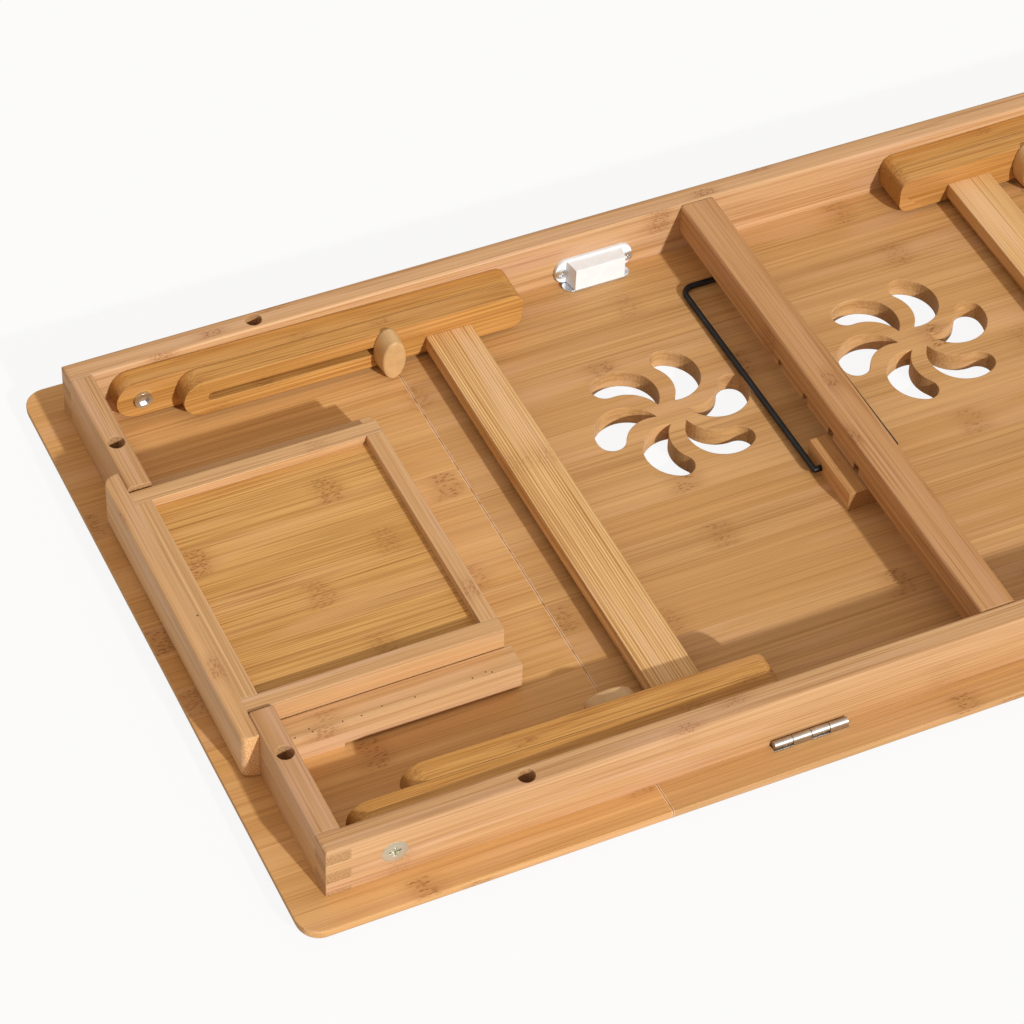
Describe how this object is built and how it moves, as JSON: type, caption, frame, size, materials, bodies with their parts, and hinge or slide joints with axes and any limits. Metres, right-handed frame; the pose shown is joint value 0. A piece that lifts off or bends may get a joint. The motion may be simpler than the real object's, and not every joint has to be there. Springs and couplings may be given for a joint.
{
  "type": "folding laptop table",
  "caption": "Folding bamboo laptop table stored upside down: tilting vented centre panel, side drawer, finger-jointed frame and telescoping fold-out legs.",
  "frame": {"origin": "middle of the working face, on the surface that the table lies on upside down", "axes": "+X along the table away from the drawer, +Y from the hinged front rail to the back rail, +Z out of the underside, towards the folded legs"},
  "size_m": [0.686, 0.35, 0.038],
  "materials": {
    "bamboo_panel": "clear satin lacquer",
    "bamboo_rail": "clear satin lacquer",
    "knob_plastic": "satin",
    "zinc_steel": "zinc plated",
    "white_plastic": "satin",
    "magnet": "plain",
    "black_wire": "satin black"
  },
  "bodies": {
    "frame": {"top_fixed_left": "bamboo_panel", "top_fixed_right": "bamboo_panel", "rail_front": "bamboo_rail", "rail_back": "bamboo_rail", "rail_left_front_stub": "bamboo_rail", "rail_left_back_stub": "bamboo_rail", "rail_right": "bamboo_rail", "crossbar": "bamboo_rail", "frame_screws": "zinc_steel", "hinge_frame_leaves": "zinc_steel", "hinge_pins": "zinc_steel", "hinge_frame_screws": "zinc_steel", "catch_body": "white_plastic", "catch_magnet": "magnet", "catch_screws": "zinc_steel", "pivot_screws": "zinc_steel", "sleeve_nuts": "zinc_steel", "runner_front": "bamboo_rail", "runner_back": "bamboo_rail"},
    "tilting_panel": {"top_tilting": "bamboo_panel", "hinge_panel_leaves": "zinc_steel", "hinge_panel_screws": "zinc_steel", "strike_plate": "zinc_steel", "strike_screws": "zinc_steel", "pivot_block": "bamboo_rail"},
    "bail": {"bail": "black_wire"},
    "leg_left": {"leg_left_front_upper": "bamboo_rail", "leg_left_back_upper": "bamboo_rail", "clamp_bolts_left": "zinc_steel"},
    "leg_left_extension": {"leg_left_front_lower": "bamboo_rail", "leg_left_back_lower": "bamboo_rail", "leg_left_stretcher": "bamboo_rail"},
    "leg_right": {"leg_right_front_upper": "bamboo_rail", "leg_right_back_upper": "bamboo_rail", "clamp_bolts_right": "zinc_steel"},
    "leg_right_extension": {"leg_right_front_lower": "bamboo_rail", "leg_right_back_lower": "bamboo_rail", "leg_right_stretcher": "bamboo_rail"},
    "knob_left_front": {"knob_left_front": "knob_plastic"},
    "knob_left_back": {"knob_left_back": "knob_plastic"},
    "knob_right_front": {"knob_right_front": "knob_plastic"},
    "knob_right_back": {"knob_right_back": "knob_plastic"},
    "drawer": {"drawer_face": "bamboo_rail", "drawer_box_front": "bamboo_rail", "drawer_side_front": "bamboo_rail", "drawer_side_back": "bamboo_rail", "drawer_back": "bamboo_rail", "drawer_bottom": "bamboo_panel"}
  },
  "joints": [
    {"name": "panel_tilt", "type": "hinge", "parent": "frame", "child": "tilting_panel", "pos_m": [0, -0.1607, 0.0122], "axis": [-1, 0, 0], "range_deg": [0, 57]},
    {"name": "bail_swing", "type": "hinge", "parent": "tilting_panel", "child": "bail", "pos_m": [0, -0.02, 0.014], "axis": [-1, 0, 0], "range_deg": [-122, 0]},
    {"name": "leg_left_fold", "type": "hinge", "parent": "frame", "child": "leg_left", "pos_m": [-0.2951, 0, 0.0245], "axis": [0, -1, 0], "range_deg": [0, 120]},
    {"name": "leg_right_fold", "type": "hinge", "parent": "frame", "child": "leg_right", "pos_m": [0.2951, 0, 0.0245], "axis": [0, 1, 0], "range_deg": [0, 120]},
    {"name": "leg_left_extend", "type": "slide", "parent": "leg_left", "child": "leg_left_extension", "axis": [0.9999, 0, -0.0148], "range_m": [0, 0.075]},
    {"name": "leg_right_extend", "type": "slide", "parent": "leg_right", "child": "leg_right_extension", "axis": [-0.9999, 0, -0.0148], "range_m": [0, 0.075]},
    {"name": "knob_left_front_turn", "type": "hinge", "parent": "leg_left", "child": "knob_left_front", "pos_m": [-0.17581, -0.1254, 0.02273], "axis": [0, 1, 0], "range_deg": [0, 180]},
    {"name": "knob_left_back_turn", "type": "hinge", "parent": "leg_left", "child": "knob_left_back", "pos_m": [-0.17581, 0.1254, 0.02273], "axis": [0, -1, 0], "range_deg": [0, 180]},
    {"name": "knob_right_front_turn", "type": "hinge", "parent": "leg_right", "child": "knob_right_front", "pos_m": [0.17581, -0.1254, 0.02273], "axis": [0, 1, 0], "range_deg": [0, 180]},
    {"name": "knob_right_back_turn", "type": "hinge", "parent": "leg_right", "child": "knob_right_back", "pos_m": [0.17581, 0.1254, 0.02273], "axis": [0, -1, 0], "range_deg": [0, 180]},
    {"name": "drawer_slide", "type": "slide", "parent": "frame", "child": "drawer", "axis": [-1, 0, 0], "range_m": [0, 0.1]}
  ],
  "couplings": [
    {"joint": "bail_swing", "follows": "panel_tilt", "ratio": -2.12}
  ]
}
